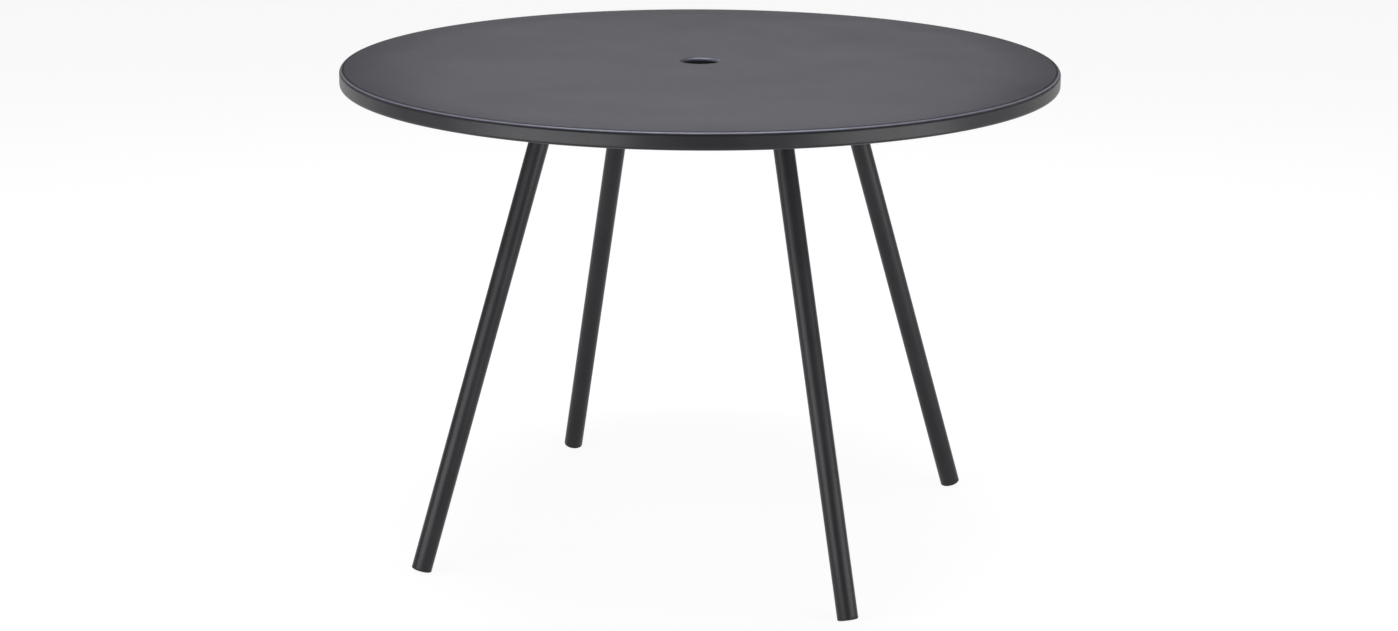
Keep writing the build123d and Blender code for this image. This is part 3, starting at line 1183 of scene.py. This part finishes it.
    def build(self, nodes: dict[str, bpy.types.Object]) -> None:
        """Builds all that the legs are made of.

        Args:
            nodes: The CAD nodes' objects by name.
        """
        self.build_tubes_and_plugs()
        self.build_flanges()
        self.build_welds()
        self.build_bolts()
        self.dress_backing_plates(nodes)


def dress_node(node: bpy.types.Object, finish: bpy.types.Material) -> None:
    """Gives a CAD node's object a finish.

    Args:
        node: The node's object, which keeps its own mesh.
        finish: The material.
    """
    for slot in node.material_slots:
        slot.material = finish
    LOG.info("%s: finished as %s", node.name, finish.name)


@dataclass
class UnderFrame:
    """The folded rails under the sheet, the plate that ties them, and their studs, nuts and rivets."""

    finishes: Finishes
    turning: Turning
    pattern: LegPattern
    plate_hole_radius: float = 32.0 * MM
    plate_radius: float = 114.2 * MM
    plate_edge: float = 0.8 * MM
    plate_support: float = 1.6 * MM
    plate_segments: int = 128
    rail_half_width: float = 46.2 * MM
    rail_corner_cut: float = 8.0 * MM
    rail_thickness: float = 2.5 * MM
    stud_radius: float = 2.5 * MM
    stud_length: float = 10.0 * MM
    stud_end_distance: float = 22.0 * MM
    studs_per_flange: int = 3
    stud_offset: float = 39.1 * MM
    thread_pitch: float = 0.8 * MM
    thread_depth: float = 0.45 * MM
    # Where a thread's crest and root stand in a turn, as shares of its pitch
    crest_lead: float = 0.15
    root_lag: float = 0.35
    stud_segments: int = 24
    nut_width: float = 8.0 * MM
    nut_height: float = 5.0 * MM
    nut_flange_radius: float = 5.9 * MM
    nut_flange_thickness: float = 1.2 * MM
    nut_flange_edge_share: float = 0.6
    nut_chamfer: float = 0.7 * MM
    nut_bore_chamfer: float = 0.4 * MM
    nut_clearance: float = 0.05 * MM
    rivet_radius: float = 84.2 * MM
    rivet_spacing: float = 30.0 * MM
    rivet_head_radius: float = 4.75 * MM
    rivet_head_height: float = 1.6 * MM
    rivet_head_steps: int = 8
    rivet_shank_radius: float = 2.4 * MM
    rivet_bulb_radius: float = 3.5 * MM
    rivet_bulb_length: float = 5.0 * MM
    rivet_mandrel_radius: float = 1.4 * MM
    rivet_mandrel_recess: float = 0.7 * MM
    # The mandrel breaks off in a flat dish, whose rim is this share of its radius
    mandrel_dish_share: float = 0.7
    mandrel_dish_depth: float = 0.2 * MM
    rivet_segments: int = 32
    rail_start: float = field(init=False)
    rail_end: float = field(init=False)
    sheet_underside: float = field(init=False)
    crown_top: float = field(init=False)
    plate_underside: float = field(init=False)
    plate_top: float = field(init=False)

    def __post_init__(self) -> None:
        """Reads the levels from the frame."""
        rail_low, rail_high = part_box("frame_rail_1")
        plate_low, plate_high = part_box("centre_plate")
        # The rail lies on the diagonal, so its cut corners set the ends of its box
        diagonal, inset = math.sqrt(2), self.rail_half_width - self.rail_corner_cut
        self.rail_start = rail_low.x * diagonal + inset
        self.rail_end = rail_high.x * diagonal - inset
        self.sheet_underside = rail_high.z
        self.crown_top = rail_low.z + self.rail_thickness
        self.plate_underside = plate_low.z
        self.plate_top = plate_high.z

    def dress_rails(self, nodes: dict[str, bpy.types.Object]) -> None:
        """Gives the rails their finish."""
        for number in range(self.pattern.legs):
            dress_node(nodes[f"frame_rail_{number + 1}"], self.finishes[Slot.POWDER_COAT])

    def build_plate(self) -> None:
        """Turns the plate that ties the rails' inner ends, with its edges broken."""
        hole, radius, edge = self.plate_hole_radius, self.plate_radius, self.plate_edge
        low, high = self.plate_underside, self.plate_top
        places = ((hole, low), (radius, low), (radius, high), (hole, high))
        outline = rounded_outline([Corner(*place, edge) for place in places], self.plate_support)
        coat = self.finishes[Slot.POWDER_COAT]
        mesh = self.turning.mesh("centre_tie_plate", outline, self.plate_segments, coat)
        place_piece("centre_tie_plate", mesh, "centre_plate")

    def stud_mesh(self) -> bpy.types.Mesh:
        """One threaded stud that hangs from the origin, with its thread as rings.

        Returns:
            The stud's mesh.
        """
        crest, root = self.stud_radius, self.stud_radius - self.thread_depth
        turns = int(self.stud_length / self.thread_pitch)
        rings = [Ring(0.0, 0.0), Ring(crest, 0.0)]
        for turn in range(1, turns):
            rings.append(Ring(crest, -(turn - self.crest_lead) * self.thread_pitch))
            rings.append(Ring(root, -(turn + self.root_lag) * self.thread_pitch))
        rings += [Ring(root, -self.stud_length), Ring(0.0, -self.stud_length)]
        return turned_mesh("weld_stud", rings, self.stud_segments)

    def nut_mesh(self) -> bpy.types.Mesh:
        """One flange nut that hangs from the origin: a round flange, six flats and chamfered corners.

        Returns:
            The nut's mesh.
        """
        flange, thick = self.nut_flange_radius, self.nut_flange_thickness
        height, width = self.nut_height, self.nut_width
        corner = width / math.sqrt(3)
        bore, bevel = self.stud_radius + self.nut_clearance, self.nut_bore_chamfer
        rings = [
            Ring(bore, 0.0),
            Ring(flange, 0.0),
            Ring(flange, -self.nut_flange_edge_share * thick),
            Ring(corner, -thick),
            Ring(corner, -thick, width),
            Ring(corner, -height + self.nut_chamfer, width),
            Ring(width / 2, -height, width),
            Ring(bore + bevel, -height),
            Ring(bore, -height + bevel),
        ]
        return turned_mesh("stud_nut", rings, FASTENER_SEGMENTS, loop=True)

    def rivet_mesh(self) -> bpy.types.Mesh:
        """One blind rivet with its head's seat at the origin: a dome round its mandrel, and a set bulb.

        Returns:
            The rivet's mesh.
        """
        head, height = self.rivet_head_radius, self.rivet_head_height
        dome = (head**2 + height**2) / (2 * height)
        mandrel = self.rivet_mandrel_radius
        start = -math.acos(head / dome)
        end = -math.acos(mandrel / dome)
        skin = arc_rings(dome, (0.0, dome - height), start, end, self.rivet_head_steps)
        grip = self.crown_top - self.plate_underside
        broken = skin[-1].z + self.rivet_mandrel_recess
        rings = [
            Ring(0.0, broken - self.mandrel_dish_depth),
            Ring(self.mandrel_dish_share * mandrel, broken),
            Ring(mandrel, broken),
            *reversed(skin),
            Ring(self.rivet_shank_radius, 0.0),
            Ring(self.rivet_shank_radius, grip),
            Ring(self.rivet_bulb_radius, grip),
            Ring(self.rivet_bulb_radius, grip + self.rivet_bulb_length),
            Ring(0.0, grip + self.rivet_bulb_length),
        ]
        return turned_mesh("centre_rivet", rings, self.rivet_segments)

    def build_fasteners(self) -> None:
        """Builds the studs, nuts and rivets of all rails."""
        studded = self.rail_end - self.rail_start - 2 * self.stud_end_distance
        stud_pitch = studded / (self.studs_per_flange - 1)
        first = Vector((self.rail_start + self.stud_end_distance, -self.stud_offset, self.sheet_underside))
        along, across = Row(self.studs_per_flange, stud_pitch), Row(PAIR, 2 * self.stud_offset)
        seat = first - Vector((0.0, 0.0, self.rail_thickness))
        rivet = Vector((self.rivet_radius, -self.rivet_spacing / 2, self.plate_underside))
        pair = Row(PAIR, self.rivet_spacing)
        plain, steel = Slot.PLAIN_ALUMINIUM, Slot.STAINLESS_STEEL
        build = self.pattern.build
        build("weld_stud_set", self.stud_mesh(), first, plain, "weld_studs", along, across)
        build("stud_nut_set", self.nut_mesh(), seat, steel, "stud_nuts", along, across)
        build("centre_rivet_set", self.rivet_mesh(), rivet, plain, "centre_rivets", across=pair)

    def build(self, nodes: dict[str, bpy.types.Object]) -> None:
        """Builds all that lies under the sheet.

        Args:
            nodes: The CAD nodes' objects by name.
        """
        self.dress_rails(nodes)
        self.build_plate()
        self.build_fasteners()


# The studio


@dataclass(frozen=True)
class Softbox:
    """A soft lamp that faces a point of the table's axis, placed by its azimuth from the camera's side."""

    name: str
    azimuth: float
    distance: float
    height: float
    size: tuple[float, float]
    watts: float
    aim_height: float = 0.75
    colour: str = "#ffffff"

    def build(self, camera_azimuth: float) -> None:
        """Adds the lamp.

        Args:
            camera_azimuth: The camera's azimuth, in radians from the -Y axis.
        """
        data = bpy.data.lights.new(self.name, "AREA")
        data.shape = "RECTANGLE"
        data.size, data.size_y = self.size
        data.energy = self.watts
        data.color = linear(self.colour)[:3]
        lamp = bpy.data.objects.new(self.name, data)
        angle = camera_azimuth + self.azimuth
        lamp.location = (self.distance * math.sin(angle), -self.distance * math.cos(angle), self.height)
        aim = Vector((0.0, 0.0, self.aim_height)) - lamp.location
        lamp.rotation_euler = aim.to_track_quat("-Z", "Y").to_euler()
        bpy.context.scene.collection.objects.link(lamp)


@dataclass
class Studio:
    """A pale floor that the camera and reflections see as white, a plain world and soft lamps."""

    camera_azimuth: float
    floor_radius: float = 150.0
    floor_segments: int = 128
    floor_colour: str = "#dcdcdc"
    white: str = "#ffffff"
    sky: str = "#e6ecff"
    cool: str = "#f7f4ff"
    ambient: float = 0.12
    # What the picture shows of the floor: an even glow, and a share of the light on it for the shadow
    floor_glow: float = 0.9
    floor_share: float = 0.26

    def lamps(self) -> list[Softbox]:
        """The lamps: three strips, two low softboxes, one overhead, and a softbox and a strip behind.

        Returns:
            The lamps in order.
        """
        strip = {"distance": 5.0, "height": 2.15, "size": (7.5, 1.1), "watts": 17.0, "colour": self.cool}
        # The low ones stand wholly below the top, so that it mirrors neither
        low = {"distance": 2.6, "height": 0.38, "size": (2.2, 0.65), "aim_height": 0.38}
        # The overhead one is a hair off the axis, so that its long side is square to the camera
        over = {"azimuth": 0.0, "distance": 0.01, "height": 3.0, "size": (2.4, 0.6), "colour": self.sky}
        back = {"azimuth": math.pi, "distance": 3.2, "colour": self.cool}
        return [
            Softbox("left_strip", azimuth=-math.pi / 2, **strip),
            Softbox("front_strip", azimuth=0.0, **strip),
            Softbox("right_strip", azimuth=math.pi / 2, **strip),
            Softbox("left_softbox", azimuth=math.radians(-43.0), watts=31.5, **low),
            Softbox("right_softbox", azimuth=math.radians(54.0), watts=27.0, **low),
            Softbox("overhead_softbox", watts=50.0, **over),
            Softbox("back_softbox", height=2.2, size=(1.8, 0.9), watts=6.7, **back),
            Softbox("back_strip", height=1.65, size=(4.8, 0.7), watts=4.9, **back),
        ]

    def build_world(self) -> None:
        """Builds a plain grey world, the same for every ray, that fills the shadows."""
        world = bpy.data.worlds.new("plain_studio")
        world.use_nodes = True
        tree = world.node_tree
        tree.nodes.clear()
        fill = {"Color": linear(self.white), "Strength": self.ambient}
        surface = add_node(tree, "ShaderNodeBackground", fill)[0]
        add_node(tree, "ShaderNodeOutputWorld", {"Surface": surface})
        bpy.context.scene.world = world

    def floor_material(self) -> bpy.types.Material:
        """Pale matt paper, white in the picture and in reflections, with the object's shadow on it.

        Returns:
            The material.
        """
        material, tree = empty_material("matt_white_paper")
        path = add_node(tree, "ShaderNodeLightPath")
        mirrored = {0: path["Is Glossy Ray"], 1: path["Is Transmission Ray"]}
        indirect = add_node(tree, "ShaderNodeMath", mirrored, operation="MAXIMUM")[0]
        either = {0: path["Is Camera Ray"], 1: indirect}
        looked_at = add_node(tree, "ShaderNodeMath", either, operation="MAXIMUM")[0]
        paper = add_node(tree, "ShaderNodeBsdfDiffuse", {"Color": linear(self.floor_colour)})[0]
        share = (self.floor_share, self.floor_share, self.floor_share, 1.0)
        shadow = add_node(tree, "ShaderNodeBsdfDiffuse", {"Color": share})[0]
        glow = {"Color": linear(self.white), "Strength": self.floor_glow}
        white = add_node(tree, "ShaderNodeEmission", glow)[0]
        seen = add_node(tree, "ShaderNodeAddShader", {0: white, 1: shadow})[0]
        surface = add_node(tree, "ShaderNodeMixShader", {0: looked_at, 1: paper, 2: seen})[0]
        add_node(tree, "ShaderNodeOutputMaterial", {"Surface": surface})
        return material

    def build(self) -> None:
        """Builds the floor, the world and the lamps."""
        mesh_builder = bmesh.new()
        rim = {"segments": self.floor_segments, "radius": self.floor_radius}
        bmesh.ops.create_circle(mesh_builder, cap_ends=True, **rim)
        mesh = bpy.data.meshes.new("studio_floor")
        mesh_builder.to_mesh(mesh)
        mesh_builder.free()
        mesh.materials.append(self.floor_material())
        new_object("studio_floor", mesh)
        self.build_world()
        for lamp in self.lamps():
            lamp.build(self.camera_azimuth)


@dataclass(frozen=True)
class PhotoCamera:
    """The camera, with its place and lens fitted to the photograph."""

    azimuth: float = math.radians(17.61)
    distance: float = 4.263
    height: float = 1.484
    pitch: float = math.radians(14.9)
    roll: float = math.radians(0.235)
    focal_px: float = 2807.0
    sensor_mm: float = 36.0

    def build(self) -> None:
        """Adds the camera and makes it the scene's."""
        data = bpy.data.cameras.new("photo_camera")
        data.sensor_fit = "HORIZONTAL"
        data.sensor_width = self.sensor_mm
        data.lens = self.focal_px / PHOTO_WIDTH_PX * self.sensor_mm
        camera = bpy.data.objects.new("photo_camera", data)
        turn = Matrix.Rotation(self.azimuth, 4, "Z")
        tilt = Matrix.Rotation(math.pi / 2 - self.pitch, 4, "X")
        place = Matrix.Translation((0.0, -self.distance, self.height))
        camera.matrix_world = turn @ place @ tilt @ Matrix.Rotation(self.roll, 4, "Z")
        bpy.context.scene.collection.objects.link(camera)
        bpy.context.scene.camera = camera


def main() -> None:
    """Builds the table around the frame, then its studio."""
    logging.basicConfig(level=logging.INFO, format="%(name)s: %(message)s", stream=sys.stdout)
    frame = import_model()
    bpy.context.scene.view_settings.view_transform = "Standard"
    finishes = Finishes()
    turning, pattern = Turning(), LegPattern(finishes)
    TopSheet(finishes, turning).build()
    UnderFrame(finishes, turning, pattern).build(frame["nodes"])
    Legs(finishes, turning, pattern, WeldBead()).build(frame["nodes"])
    camera = PhotoCamera()
    camera.build()
    Studio(camera.azimuth).build()


if __name__ == "__main__":
    main()
